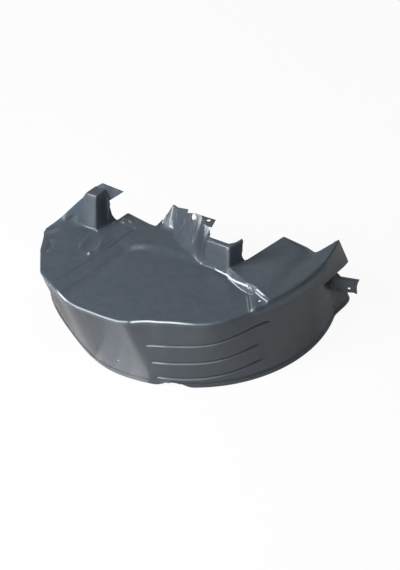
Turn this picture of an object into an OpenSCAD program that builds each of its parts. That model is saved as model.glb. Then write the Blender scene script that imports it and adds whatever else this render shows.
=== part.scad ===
// Wheel arch liner, formed from one plastic sheet.
// It lies on its outer rim as a half drum: the arch band stands up and the side wall is on top.
// Plan places are measured from the wheel's centre, with +X along the open side
// and -Y toward the top of the arch.

/* [Arch band] */
// Radius of the outer rim, which clears the tyre
rim_r = 345; // [330:1:375]
// Radius of the shoulder, where the band turns into the side wall
shoulder_r = 343; // [330:1:375]
// How far the shoulder's centre lies to the left of the wheel's centre
shoulder_shift = 55; // [45:1:65]
// Height of the band
band_h = 183; // [150:1:220]
// Radius of the fillet along the shoulder
shoulder_fillet = 8; // [6:1:12]
// How far the shoulder flares outward at its right end
shoulder_flare = 59; // [45:1:70]
// Distance of the flat left side from the wheel's centre
left_flat = 367; // [355:1:380]
// Angle of the left end of the band
arch_start = 181.5; // [180.5:0.5:184]
// Angle of the right end of the band
arch_end = 354.5; // [351:0.5:356]
// Depth of the flat in the shoulder at the top of the arch
shoulder_dip = 20; // [0:1:22]
// How far the shoulder bulges outward at the left of that flat
shoulder_bulge = 5; // [0:1:8]
// How far the rim is drawn in at the left
rim_dip = 20; // [0:1:22]
// Height of the drain notch in the outer rim
drain_h = 15; // [5:1:18]
// How far the rim's right corner is turned outward
rim_flare = 27; // [10:1:35]
// Thickness of the sheet
sheet_t = 2.5; // [1.5:0.1:3.5]

/* [Ribs of the band] */
// Height of the lowest rib above the rim
rib_low = 23; // [22:1:30]
// Height of the middle rib above the rim
rib_mid = 66; // [55:1:75]
// Height of the highest rib above the rim
rib_high = 115; // [100:1:122]
// Width of a rib
rib_w = 7; // [5:0.5:9]
// Depth of a rib
rib_depth = 3; // [1:0.5:5]
// Angle at which the ribs start
rib_start = 256.5; // [252:0.5:260]
// Angle over which the lower ribs run
rib_span = 45; // [30:1:48]
// How much further the highest rib runs
rib_extra = 7; // [0:1:10]
// How far the ribs rise toward the right
rib_rise = 30; // [0:1:30]
// Height of the hem along the rim
hem_h = 12; // [8:1:15]
// How far the hem stands proud of the band
hem_out = 2; // [0:0.5:4]

/* [Right end of the band] */
// How far the crease stands proud of the band at its end
crease_out = 14; // [8:1:20]
// Height of the crease above the rim at its end
crease_h = 128; // [126:1:140]
// Depth of the pocket under the crease
pocket_depth = 9; // [0:1:12]
// Angle by which the end is cut back under the crease
end_cut = 5; // [3:0.5:7]

/* [Side wall] */
// Depth of the recessed middle of the side wall
recess_depth = 7; // [2:1:10]
// Height of the ramp at the right above the recess
ramp_h = 18; // [10:1:22]
// Depth of the valley across the ramp
valley_depth = 9; // [0:1:12]
// Rise of the ramp toward its right end
ramp_rise = 7; // [0:1:12]
// Depth of the oval dent at the foot of the tower
dent_depth = 4; // [0:0.5:6]

/* [Left tower] */
// Height of the tower above the side wall
tower_h = 103; // [85:1:115]
// Width of its front face
tower_w = 38; // [32:1:44]
// Depth of its top
tower_d = 37; // [32:1:42]
// Length of the foot of its right wall
tower_side = 55; // [50:1:60]
// How far its foot stands in front of its top
tower_lean = 12; // [4:1:16]
// Height of the flange behind its top
wing_h = 13; // [8:1:18]
// How far that flange runs on past the tower
wing_l = 46; // [35:1:60]

/* [Centre bracket] */
// Height of the gusset above the side wall
gusset_h = 57; // [50:1:64]
// Height of the box above the side wall
box_h = 82; // [72:1:92]
// Width of its front face
box_w = 64; // [58:1:70]
// Width of the flange turned back along its top
box_flange = 13; // [9:1:17]

/* [Fixings] */
// Radius of the screw holes in the sheet
hole_r = 3.5; // [2.5:0.5:5]
// Radius of the hole in the tab of the centre bracket
lug_hole_r = 5; // [3:0.5:6.5]
// Radius of the cable hole in the slanted panel
cable_hole_r = 8; // [5:0.5:9]
// How far the end tab stands out from the band
end_tab_l = 56; // [45:1:65]
// Height of the end tab
end_tab_h = 44; // [36:1:48]

/* [Hidden] */

sheet_color = [0.33, 0.36, 0.39];
// Directions of the moulded faces: along the vehicle, into the vehicle, and the drafted side walls
along_x = [cos(-30), sin(-30)];
into_y = [cos(47), sin(47)];
side_y = [cos(38.5), sin(38.5)];
// Angles at which the flat, the bulge and the flare of the shoulder, the dip of the rim, the drain
// notch and the end's crease start and stop, and how the left side leans
dip_from = 247;
dip_to = 288;
dip_in = 15;
dip_out = 20;
bulge_from = 215;
bulge_to = 239;
flare_from = 303;
rim_dip_from = 172;
rim_dip_to = 240;
left_lean = 0.17;
left_lean_from = 60;
drain_from = 254;
drain_to = 270;
crease_from = 327;
// Corners that the raised forms are set out from
tower_at = [-233, 19];
box_at = [80, -146];
gusset_at = [-45, 5];
foot_fillet = 7;
knee_fillet = 6;
cut_margin = 8;
sweep_fillet = 40;
// Places of the holes and tabs
band_hole_a = 241;
band_hole_z = 44;
cable_hole_across = 0.93;
cable_web = 1.5;
lug_hole_at = [35, -44];
step_hole_at = [153, -255];
end_tab_sink = 2;
end_tab_z = 65;
end_tab_turn = arch_end - 364.5;
end_hole_in = 20;
end_hole_up = 11;
$fn = 48;

function lerp(a, b, t) = a + (b - a) * t;
function clamp01(t) = max(0, min(1, t));
function smooth(t) = let (u = clamp01(t)) u * u * (3 - 2 * u);
function bump(t) = t <= 0 || t >= 1 ? 0 : pow(sin(180 * t), 2);
function unit(v) = v / norm(v);
function flat_of(p) = [p.x, p.y];
function at_height(p, z) = [p.x, p.y, z];

// Plan outline of the shoulder: a shifted circle, cut off flat at the left and flared at the right
function shoulder(a) =
    let (
        flare = shoulder_flare * clamp01((a - flare_from) / (arch_end - flare_from)),
        dip = shoulder_dip * smooth((a - dip_from) / dip_in) * smooth((dip_to - a) / dip_out),
        bulge = shoulder_bulge * bump((a - bulge_from) / (bulge_to - bulge_from)),
        r = shoulder_r - dip + bulge + flare
    )
    [
        max(r * cos(a) - shoulder_shift, left_lean * max(0, r * sin(a) + left_lean_from) - left_flat),
        r * sin(a)
    ];

// Outer rim: a circle about the wheel's centre, with the drain notch and the turned right corner
function rim(a) =
    let (
        end = smooth((a - arch_end + 9) / 9),
        r = rim_r + rim_flare * end - rim_dip * bump((a - rim_dip_from) / (rim_dip_to - rim_dip_from)),
        b = a + 2.5 * end
    )
    [r * cos(b), r * sin(b), drain_h * bump((a - drain_from) / (drain_to - drain_from))];

// Lines on the side wall, given as the x or y at which they pass
function step_foot_x(y) =
    lookup(y, [
        [-291, 134], [-227, 131], [-216, 136], [-201, 113], [-194, 106], [-175, 94], [-158, 80], [-149, 70]
    ]);
function step_top_x(y) =
    lookup(y, [[-275, 180], [-241, 163], [-223, 149], [-204, 121], [-193, 104], [-174, 84]]);
function recess_y(x) =
    lookup(x, [
        [-200, 10], [-170, -44], [-154, -60], [-142, -50], [-118, -48], [-82, -58], [-10, -102], [14, -114]
    ]);
function recess_ease(x) = lookup(x, [[-190, 60], [-154, 18], [-130, 14], [-100, 20], [0, 26]]);

// Height of the side wall's form above the recessed middle, at a plan point
function left_lift(p) =
    let (d = (p - [-302, -230]) * [-0.757, 0.653])
    recess_depth * smooth(d / 50);
function far_lift(p) = p.x > 20 ? 0 : recess_depth * smooth((p.y - recess_y(p.x)) / recess_ease(p.x));
function ramp_lift(p) =
    let (
        foot = step_foot_x(p.y),
        top = max(step_top_x(p.y), foot + 7),
        valley = abs((p - [286, -89]) * [0.766, -0.643]),
        fade = smooth((p.x - 150) / 120)
    )
    ramp_h * smooth((p.x - foot) / (top - foot))
        - valley_depth * fade * (1 - smooth(valley / 45))
        + ramp_rise * smooth((p.x - 290) / 60);
function dent_lift(p) =
    let (q = p - [-251, -28], u = q * [0.3, 0.95] / 42, v = q * [0.95, -0.3] / 22)
    -dent_depth * (1 - smooth(u * u + v * v));
function lift(p) = max(left_lift(p), far_lift(p), 0) + ramp_lift(p) + dent_lift(p);
function on_wall(p) = at_height(p, band_h + lift(p));

// Height of a rib at an angle, which rises toward the right and comes back down past the ribs
function rib_z(a, level) = level + rib_rise * smooth((a - 268) / 48) * (1 - smooth((a - 320) / 14));

// Outward relief of the band at an angle and a height above the rim
function rib(a, z, level, span) =
    let (
        ends = smooth((a - rib_start) / 2) * smooth((rib_start + span - a) / 2),
        across = 1 - clamp01(abs(z - rib_z(a, level)) / (rib_w / 2))
    )
    -rib_depth * ends * across;
function crease_z(a) = lerp(165, crease_h, clamp01((a - crease_from) / (arch_end - crease_from)));
function end_relief(a, z) =
    let (
        t = clamp01((a - crease_from) / (arch_end - crease_from)),
        c = crease_z(a)
    )
    z >= c ? crease_out * t * clamp01((band_h + ramp_h - z) / (band_h + ramp_h - c))
        : -pocket_depth * t * smooth((c - z) / 7) * smooth((z - 30) / 60)
            + crease_out * t * (1 - smooth((c - z) / 7));
function relief(a, z) =
    rib(a, z, rib_low, rib_span) + rib(a, z, rib_mid, rib_span) + rib(a, z, rib_high, rib_span + rib_extra)
        + hem_out * smooth((hem_h + 2 - z) / 4) + end_relief(a, z);

// Angle of a column at a height, which cuts the right end back under the crease
function cut_angle(a, z) =
    a - end_cut * smooth((a - arch_end + 16) / 16) * smooth((crease_h - 2 - z) / 8) * smooth((z - 45) / 15);

// Point of the band at an angle and a height above the rim
function band_point(a0, z) =
    let (
        a = cut_angle(a0, z),
        s = on_wall(shoulder(a)),
        m = rim(a),
        t = clamp01((s.z - z) / (s.z - m.z)),
        p = lerp(s, m, t)
    )
    p + relief(a, z) * [cos(a), sin(a), 0];

// Heights of the rows of points down the band: three for each rib
function band_rows(a) = [
    crease_z(a) + 6, crease_z(a), crease_z(a) - 7,
    each [for (side = [1, 0, -1]) rib_z(a, rib_high) + side * rib_w / 2],
    rib_z(a, (rib_high + rib_mid) / 2),
    each [for (side = [1, 0, -1]) rib_z(a, rib_mid) + side * rib_w / 2],
    rib_z(a, (rib_mid + rib_low) / 2),
    each [for (side = [1, 0, -1]) rib_z(a, rib_low) + side * rib_w / 2],
    hem_h, 0
];

// Round corner at b between the legs to a and c, which takes no more than a share of each leg
function corner(a, b, c, r, share = 0.45) =
    let (
        p = b + unit(a - b) * min(r, 0.45 * norm(a - b)),
        q = b + unit(c - b) * min(r, share * norm(c - b))
    )
    [p, (p + 2 * b + q) / 4, q];

// A station is a place along the sheet's cut edge: [columns to the next one, angle on the arch,
// foot of the wall in plan, knee and cut edge with heights above the side wall]
function cut_edge(n, a, p) =
    let (
        d = shoulder(a) - p,
        m = min(cut_margin, 0.2 * norm(d)),
        u = unit(d),
        k = p + m * u,
        f = p + 2 * m * u
    )
    [n, a, f, at_height(k, lift(k)), at_height(p, lift(p))];
function wall(n, a, foot, knee, edge) = [n, a, foot, knee, edge];

tower_left = tower_at - tower_w * along_x;
tower_back = tower_at + tower_d * into_y;
tower_mid = tower_back - 0.35 * tower_w * along_x;
tower_far = tower_back - 0.8 * tower_w * along_x;
tower_front = tower_at - [0, tower_lean];
function tower_foot(s) = tower_front + s * side_y;
sweep = [
    wall(3, arch_start, [9 - left_flat, 5], [11 - left_flat, 13, 1], [14 - left_flat, 22, 2]),
    wall(3, 189, [-323, 24], [-322, 36, 5], [-321, 47, 11]),
    wall(3, 194.5, [-292, 44], [-290, 47, 28], [-289, 52, 45])
];
tower = [
    wall(3, 200, tower_left - [0, tower_lean], at_height(tower_left + [8, -3], tower_h - 1),
        at_height(tower_far, tower_h - 2)),
    wall(1, 211, tower_front + [-4, 2], at_height(tower_at + [-4, 2], tower_h),
        at_height(tower_mid, tower_h)),
    wall(2, 213.5, tower_foot(4), at_height(tower_at + 4 * into_y, tower_h),
        at_height(tower_mid + 3 * along_x, tower_h)),
    wall(2, 216.5, tower_foot(17), at_height(tower_at + 0.5 * tower_d * into_y, tower_h),
        at_height(tower_back - 5 * along_x, tower_h)),
    wall(2, 219, tower_foot(29), at_height(tower_back - 7 * into_y, tower_h - 2),
        at_height(tower_back, tower_h - 2)),
    wall(1, 220.5, tower_foot(37), at_height(tower_foot(38.5), 30), at_height(tower_foot(41), 62)),
    wall(1, 222, tower_foot(tower_side - 12), at_height(tower_foot(tower_side - 10), 16),
        at_height(tower_foot(tower_side - 7), 32)),
    wall(1, 223.5, tower_foot(tower_side - 4), at_height(tower_foot(tower_side - 1), 11),
        at_height(tower_foot(tower_side + 2), 15))
];
notch = [
    cut_edge(2, 225, tower_foot(tower_side + 8)),
    cut_edge(5, 229, [-158, 74]),
    cut_edge(2, 241, [-106, 33]),
    cut_edge(1, 244.5, [-91, 25])
];
gusset = [
    wall(1, 246.5, [-78, 33], [-77, 36, 10], [-76, 38, 14]),
    wall(1, 248, [-70, 26], [-66, 34, 19], [-63, 43, 30]),
    wall(1, 249.3, [-60, 16], [-55, 31, 28], [-49.5, 45, gusset_h]),
    wall(1, 250.3, gusset_at + [-3, 3], at_height(gusset_at + [-1, 18], 29), [-42, 36, gusset_h]),
    wall(1, 251.5, gusset_at + [1, -6], at_height(gusset_at + [4, 8], 34), [-37, 31, gusset_h + 2])
];
panel = [
    wall(1, 254, [-36, -17], [-26, -7, 38], [-15, 14, gusset_h + 11]),
    wall(2, 256, [-32, -25], [-24, -14, 37], [-18, 4, gusset_h + 8]),
    wall(3, 260, [-19, -48], [-9, -34, 41], [2, -19, box_h]),
    wall(3, 268, [0, -85], [11, -57, 41], [22, -29, box_h]),
    wall(1, 275, [11, -106], [18, -84, 40], [26, -54, box_h - 2]),
    wall(1, 277.5, [14, -110], [25, -92, 42], [37, -66, box_h - 10])
];
box_left = box_at - box_w * along_x;
function box_foot(s) = box_at + [5, -1] + s * side_y;
box_inner = box_at + [3, 14];
box = [
    wall(1, 280.5, box_left + [-4, 1], at_height(box_left + [2, 8], 52),
        at_height(box_left + [12, 38], box_h - 16)),
    wall(8, 284, box_left, at_height(box_left + [5, -2], box_h - 1),
        at_height(box_left + box_flange * [0.8, 0.9], box_h - 3)),
    wall(2, 303, box_at + [-3, 1], at_height(box_at + [-2, 1], box_h), at_height(box_inner + [-1, 0], box_h)),
    wall(2, 309, box_foot(0), at_height(box_foot(1), box_h), at_height(box_inner + [3, 1], box_h)),
    wall(2, 313, box_foot(16), at_height(box_foot(22) + [0, 2], box_h),
        at_height(box_foot(18) + [0, 9], box_h)),
    wall(2, 316, box_foot(26), at_height(box_foot(42) + [0, 2], box_h),
        at_height(box_foot(42) + [-3, 9], box_h)),
    wall(1, 318, box_foot(30), at_height(box_foot(32), 40), at_height(box_foot(35), 56)),
    wall(1, 320, box_foot(34), at_height(box_foot(36), 28), at_height(box_foot(38), 34)),
    wall(1, 322, box_foot(39), at_height(box_foot(42), 19), at_height(box_foot(45), 20))
];
ramp = [
    cut_edge(4, 324, box_foot(54)),
    cut_edge(3, 330, [214, -28]),
    cut_edge(2, 337, [271, -66]),
    cut_edge(1, 340.5, [288, -78]),
    cut_edge(5, 343.5, [300, -70]),
    cut_edge(0, arch_end, shoulder(arch_end) - [9, 7])
];
stations = concat(sweep, tower, notch, gusset, panel, box, ramp);

// Every column between the stations, with its places shared out evenly
columns = [
    for (i = [0 : len(stations) - 2], j = [0 : stations[i][0] - 1])
        let (s = stations[i], e = stations[i + 1], t = j / s[0])
        [for (k = [1 : 4]) lerp(s[k], e[k], t)],
    let (e = stations[len(stations) - 1]) [for (k = [1 : 4]) e[k]]
];

// One section of the sheet, from the cut edge down the wall, across the side wall and down the band
wall_shares = [0.08, 0.16, 0.24, 0.33, 0.42, 0.51, 0.6, 0.69, 0.78, 0.87, 0.94];
function section(c) =
    let (
        a = c[0],
        edge = c[3] + [0, 0, band_h],
        knee = c[2] + [0, 0, band_h],
        foot = on_wall(c[1]),
        s = on_wall(shoulder(a)),
        span = flat_of(s) - c[1],
        floor_points = [for (t = wall_shares) on_wall(c[1] + t * span)],
        inner = floor_points[len(floor_points) - 1],
        rows = band_rows(a)
    )
    concat(
        [edge],
        corner(edge, knee, foot, knee_fillet),
        [(knee + foot) / 2],
        corner(knee, foot, floor_points[0], lerp(sweep_fillet, foot_fillet, smooth((a - 194) / 8)), 0.9),
        [for (k = [1 : len(floor_points) - 1]) floor_points[k]],
        corner(inner, s, band_point(a, rows[0]), shoulder_fillet),
        [for (z = rows) band_point(a, z)]
    );

skin = [for (c = columns) section(c)];
n_cols = len(skin);
n_rows = len(skin[0]);

// Normal of the skin at a point, and the second skin one sheet thickness further in
function near(i, n) = max(0, min(n - 1, i));
function skin_normal(i, j) =
    unit(cross(
        skin[near(i + 1, n_cols)][j] - skin[near(i - 1, n_cols)][j],
        skin[i][near(j + 1, n_rows)] - skin[i][near(j - 1, n_rows)]
    ));
function level(v) = at_height(v, 0);
inner_skin = [
    for (i = [0 : n_cols - 1]) [
        for (j = [0 : n_rows - 1])
            let (n = skin_normal(i, j))
            skin[i][j] + sheet_t * (j == n_rows - 1 ? unit(level(n)) : n)
    ]
];

function flat_list(rows) = [for (r = rows) for (p = r) p];
function cell(i, j) = i * n_rows + j;

module formed_sheet() {
    half = n_cols * n_rows;
    outer_faces = [
        for (i = [0 : n_cols - 2], j = [0 : n_rows - 2])
            each [
                [cell(i, j), cell(i + 1, j), cell(i, j + 1)],
                [cell(i + 1, j), cell(i + 1, j + 1), cell(i, j + 1)]
            ]
    ];
    inner_faces = [for (f = outer_faces) [half + f[2], half + f[1], half + f[0]]];
    border = concat(
        [for (j = [0 : n_rows - 2]) cell(0, j)],
        [for (i = [0 : n_cols - 2]) cell(i, n_rows - 1)],
        [for (j = [n_rows - 1 : -1 : 1]) cell(n_cols - 1, j)],
        [for (i = [n_cols - 1 : -1 : 1]) cell(i, 0)]
    );
    n_border = len(border);
    edge_faces = [
        for (k = [0 : n_border - 1])
            let (p = border[k], q = border[(k + 1) % n_border])
            each [[p, q, half + q], [p, half + q, half + p]]
    ];
    polyhedron(points = concat(flat_list(skin), flat_list(inner_skin)),
        faces = concat(outer_faces, inner_faces, edge_faces));
}

// A flat piece of the sheet that stands upright: its outline is drawn along a plan direction and up
module upright(at, turn, outline) {
    translate([at.x, at.y, 0])
        rotate([90, 0, turn])
            linear_extrude(sheet_t, center = true)
                polygon(outline);
}

// Flange behind the tower's top, which runs on to the right as a free wing
module tower_wing() {
    top = band_h + tower_h;
    upright(tower_back, -30, [
        [-28, top - 3], [-13, top + wing_h], [wing_l, top + wing_h - 2],
        [4, top - 36], [-1, top - 36], [-1, top - 5]
    ]);
}

// Level tab at the top of the slanted panel, which a screw holds to the inner wing
module lug() {
    translate([0, 0, band_h + box_h - sheet_t])
        linear_extrude(sheet_t)
            polygon([[18, -26], [52, -41], [42, -69], [34, -66], [23, -55]]);
}

// Tab at the right end, turned outward to meet the bumper, with a hollow end; it starts from the
// cut end of the band
end_root = band_point(arch_end, end_tab_z + end_tab_h / 2);
end_tab_at = [end_root.x - end_tab_sink, end_root.y - end_tab_sink];
module end_tab() {
    l = end_tab_l;
    h = end_tab_h;
    upright(end_tab_at, end_tab_turn, [
        [-4, end_tab_z - 2], [l, end_tab_z], [l - 1.5, end_tab_z + 0.25 * h],
        [l - 1, end_tab_z + 0.55 * h], [l + 2, end_tab_z + 0.8 * h], [l + 5, end_tab_z + h],
        [16, end_tab_z + h + 3], [8, end_tab_z + h + 7], [0, end_tab_z + h + 18], [-4, end_tab_z + h + 22]
    ]);
}

// Direction square to the sheet, from two directions that lie in it
function square_to(u, v) = unit(cross(u, v));
function wall_normal(p) =
    square_to(on_wall(p + [3, 0]) - on_wall(p - [3, 0]), on_wall(p + [0, 3]) - on_wall(p - [0, 3]));
function band_normal(a, z) =
    square_to(band_point(a, z - 9) - band_point(a, z + 9), band_point(a + 1, z) - band_point(a - 1, z));

// Screw and cable holes, each a round cut along a direction
module hole(at, r, out) {
    translate(at)
        rotate([0, acos(out.z), atan2(out.y, out.x)])
            cylinder(h = 8 * sheet_t, r = r, center = true);
}
cable_low = [for (i = [1 : 3]) panel[i][3] + [0, 0, band_h]];
cable_high = [for (i = [1 : 3]) panel[i][4] + [0, 0, band_h]];
cable_edge = lerp(cable_high[0], cable_high[1], cable_hole_across);
cable_knee = lerp(cable_low[0], cable_low[1], cable_hole_across);
cable_hole_at = cable_edge + (cable_hole_r + cable_web) * unit(cable_knee - cable_edge);
cable_hole_out = square_to(cable_high[2] - cable_low[0], cable_high[0] - cable_low[2]);
end_hole_at = end_tab_at + (end_tab_l - end_hole_in) * [cos(end_tab_turn), sin(end_tab_turn)];
module holes() {
    hole(band_point(band_hole_a, band_hole_z), hole_r, band_normal(band_hole_a, band_hole_z));
    hole(at_height(lug_hole_at, band_h + box_h), lug_hole_r, [0, 0, 1]);
    hole(cable_hole_at, cable_hole_r, cable_hole_out);
    hole(on_wall(step_hole_at), hole_r, wall_normal(step_hole_at));
    hole(at_height(end_hole_at, end_tab_z + end_hole_up), hole_r, [sin(end_tab_turn), -cos(end_tab_turn), 0]);
}

// The part stands on the middle of its own footprint
points = concat(flat_list(skin), flat_list(inner_skin));
tab_tip = end_tab_at + (end_tab_l + 5) * [cos(end_tab_turn), sin(end_tab_turn)]
    + sheet_t / 2 * [-sin(end_tab_turn), cos(end_tab_turn)];
low = [min([for (p = points) p.x]), min([for (p = points) p.y])];
high = [max(max([for (p = points) p.x]), tab_tip.x), max([for (p = points) p.y])];
middle = (low + high) / 2;

module liner() {
    color(sheet_color)
        translate([-middle.x, -middle.y, 0])
            difference() {
                union() {
                    formed_sheet();
                    tower_wing();
                    lug();
                    end_tab();
                }
                holes();
            }
}

liner();
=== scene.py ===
import bmesh
import bpy
import numpy as np
from mathutils import Matrix, Vector


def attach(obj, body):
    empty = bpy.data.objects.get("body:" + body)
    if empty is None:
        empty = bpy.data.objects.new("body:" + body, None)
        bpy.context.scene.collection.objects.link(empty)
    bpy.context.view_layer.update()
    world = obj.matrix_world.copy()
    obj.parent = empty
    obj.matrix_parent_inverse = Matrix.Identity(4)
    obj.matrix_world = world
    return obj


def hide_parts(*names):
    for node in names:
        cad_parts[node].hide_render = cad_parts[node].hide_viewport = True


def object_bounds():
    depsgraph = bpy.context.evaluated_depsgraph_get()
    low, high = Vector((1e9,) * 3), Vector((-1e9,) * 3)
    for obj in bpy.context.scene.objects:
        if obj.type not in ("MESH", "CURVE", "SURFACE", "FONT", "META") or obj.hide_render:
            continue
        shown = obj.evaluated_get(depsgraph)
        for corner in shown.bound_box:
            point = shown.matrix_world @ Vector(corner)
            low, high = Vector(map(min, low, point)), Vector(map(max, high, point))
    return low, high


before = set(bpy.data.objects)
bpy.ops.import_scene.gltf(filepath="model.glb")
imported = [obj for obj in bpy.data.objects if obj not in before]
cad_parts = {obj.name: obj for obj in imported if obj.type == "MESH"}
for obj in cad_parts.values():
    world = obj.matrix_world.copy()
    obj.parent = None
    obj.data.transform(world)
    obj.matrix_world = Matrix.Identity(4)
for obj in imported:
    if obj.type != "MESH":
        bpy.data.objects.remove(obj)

cad_low, cad_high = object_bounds()


# The arch band is the wall that goes over the tyre: an oblique half drum between the outer rim
# on the floor and the shoulder. It is drawn down over the forming tool with three sunk ribs, a
# drain notch, a turned hem along the rim, and a creased, cut back end at the right.
# Plan places are in millimetres from the wheel's centre, with +X along the open side and -Y
# toward the top of the arch. Angles are in degrees about that centre.
arch_start, arch_end = 181.5, 354.5
rim_r, shoulder_r, shoulder_shift = 345.0, 343.0, 55.0
band_h = 183.0
shoulder_dip, shoulder_bulge = 20.0, 5.0
left_flat, left_lean = 367.0, 0.17
flare_out, flare_from = 59.0, 303.0
rim_dip, rim_flare, rim_turn, drain_h = 20.0, 27.0, 2.5, 15.0
hem_out, hem_h = 2.0, 14.0
rib_levels = (23.0, 66.0, 115.0)
rib_spans = (44.0, 45.0, 52.0)
rib_start, rib_w, rib_depth, rib_rise = 256.5, 7.5, 3.2, 30.0
crease_out, crease_from, pocket_depth = 14.0, 327.0, 9.0
crease_start_h, crease_h = 165.0, 128.0
end_cut = 5.0


def smooth(t):
    """Smooth step: 0 below 0, 1 above 1, and 3u^2 - 2u^3 between."""
    u = np.clip(t, 0.0, 1.0)
    return u * u * (3.0 - 2.0 * u)


def bump(t):
    """One soft wave: sine squared of half a turn between 0 and 1, and 0 outside."""
    return np.sin(np.pi * np.clip(t, 0.0, 1.0)) ** 2


def polar(r, a):
    """Plan points at radius r and angle a in degrees."""
    a = np.radians(a)
    return np.stack([r * np.cos(a), r * np.sin(a)], axis=-1)


def at_height(p, z):
    """Plan points p lifted to the height z."""
    z = np.broadcast_to(np.asarray(z, float), p.shape[:-1])
    return np.concatenate([p, z[..., None]], axis=-1)


def shoulder(a):
    """Shoulder in plan: a circle shifted to the left, dipped at the top of the arch, cut off by
    a flat at the left and flared outward at the right."""
    dip = shoulder_dip * smooth((a - 247.0) / 15.0) * smooth((288.0 - a) / 20.0)
    bulge = shoulder_bulge * bump((a - 215.0) / 24.0)
    flare = flare_out * np.clip((a - flare_from) / (arch_end - flare_from), 0.0, 1.0)
    p = polar(shoulder_r - dip + bulge + flare, a)
    flat = left_lean * np.maximum(0.0, p[..., 1] + 60.0) - left_flat
    p[..., 0] = np.maximum(p[..., 0] - shoulder_shift, flat)
    return p


def rim(a):
    """Outer rim: a circle about the wheel's centre, drawn in at the left, turned outward at its
    right corner and raised in the drain notch."""
    end = smooth((a - arch_end + 9.0) / 9.0)
    r = rim_r + rim_flare * end - rim_dip * bump((a - 172.0) / 68.0)
    return at_height(polar(r, a + rim_turn * end), drain_h * bump((a - 254.0) / 16.0))


def rib_z(a, level):
    """Height of a rib's middle: level at the left, rising to the right and easing back past it."""
    return level + rib_rise * smooth((a - 268.0) / 48.0) * (1.0 - smooth((a - 320.0) / 14.0))


def crease_z(a):
    """Height of the crease at the right end, which falls along the band."""
    t = np.clip((a - crease_from) / (arch_end - crease_from), 0.0, 1.0)
    return crease_start_h + (crease_h - crease_start_h) * t


def band_relief(a, z):
    """How far the band stands proud at angle a and height z: the sunk ribs are cosine grooves
    with round ends, the hem is a small step, and the crease has a pocket under it."""
    out = hem_out * smooth((hem_h - z) / 4.0)
    for level, span in zip(rib_levels, rib_spans):
        past_end = np.maximum(0.0, np.maximum(rib_start - a, a - rib_start - span))
        end_gap = past_end * np.radians(rim_r)
        d = np.hypot(z - rib_z(a, level), end_gap) / (rib_w / 2.0)
        out = out - rib_depth * np.cos(np.pi / 2.0 * np.clip(d, 0.0, 1.0)) ** 2
    t = np.clip((a - crease_from) / (arch_end - crease_from), 0.0, 1.0)
    c = crease_z(a)
    top = band_h + 18.0
    above = crease_out * t * np.clip((top - z) / (top - c), 0.0, 1.0)
    under = smooth((c - z) / 7.0)
    below = crease_out * t * (1.0 - under) - pocket_depth * t * under * smooth((z - 30.0) / 60.0)
    return out + np.where(z >= c, above, below)


def band_point(a0, z, top):
    """Point of the band: the straight ruling from the shoulder down to the rim, pushed out by
    the relief. The right end is cut back under its crease by turning the angle back."""
    cut = smooth((a0 - arch_end + 16.0) / 16.0)
    a = a0 - end_cut * cut * smooth((crease_h - 2.0 - z) / 8.0) * smooth((z - 45.0) / 15.0)
    s = at_height(shoulder(a), top)
    m = rim(a)
    t = np.clip((s[..., 2] - z) / (s[..., 2] - m[..., 2]), 0.0, 1.0)[..., None]
    return s + (m - s) * t + band_relief(a, z)[..., None] * at_height(polar(1.0, a), 0.0)


# The side wall closes the drum on the vehicle's side: a recessed middle with a raised border,
# a soft ridge across the left, and at the right a ramp behind a sharp step with a
# three-cornered facet at its end. It is given as a lift above the shoulder's height.
recess_depth, ramp_h, valley_depth, ramp_rise = 7.0, 18.0, 9.0, 7.0
least_step_w, facet_bead_h = 15.0, 2.4
groove_far, groove_near, fold_depth = 2.5, 0.9, 0.9
dent_depth, dent_ridge_h, pip_h = 2.2, 0.7, 3.2
side_groove_depth, nick_depth, wrinkle_h = 3.5, 7.0, 2.6


def ramp(t, ease=0.18):
    """Straight ramp from 0 to 1 with eased ends: the clamped line averaged over a short window."""
    return np.mean([np.clip(t + ease * k, 0.0, 1.0) for k in np.linspace(-1.0, 1.0, 7)], axis=0)


def left_lift(x, y):
    """Border left of the middle: a wide slope up to a line across the wall. A fine groove runs
    along that line, deeper in its far half, and a faint fold runs along the slope's foot."""
    d = (x + 302.0) * -0.757 + (y + 230.0) * 0.653
    along = (x + 302.0) * 0.653 + (y + 230.0) * 0.757
    groove = np.exp(-((d - 56.0) / 2.6) ** 2) * smooth((330.0 - along) / 15.0)
    groove_depth = groove_near + (groove_far - groove_near) * smooth((along - 140.0) / 60.0)
    fold = np.exp(-((d + 1.0) / 3.5) ** 2) * smooth((230.0 - along) / 60.0)
    return recess_depth * ramp(d / 52.0, 0.1) - groove_depth * groove - fold_depth * fold


def far_lift(x, y):
    """Border beyond the middle: a rounded slope along a bent line, steepest at its left corner."""
    edge = np.interp(x, [-200, -170, -154, -142, -118, -82, -10, 14],
                     [-34, -58, -70, -62, -60, -69, -108, -116])
    width = np.interp(x, [-190, -154, -130, -100, 0], [60.0, 20.0, 17.0, 22.0, 26.0])
    return np.where(x > 20.0, 0.0, recess_depth * smooth((y - edge) / width))


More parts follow.
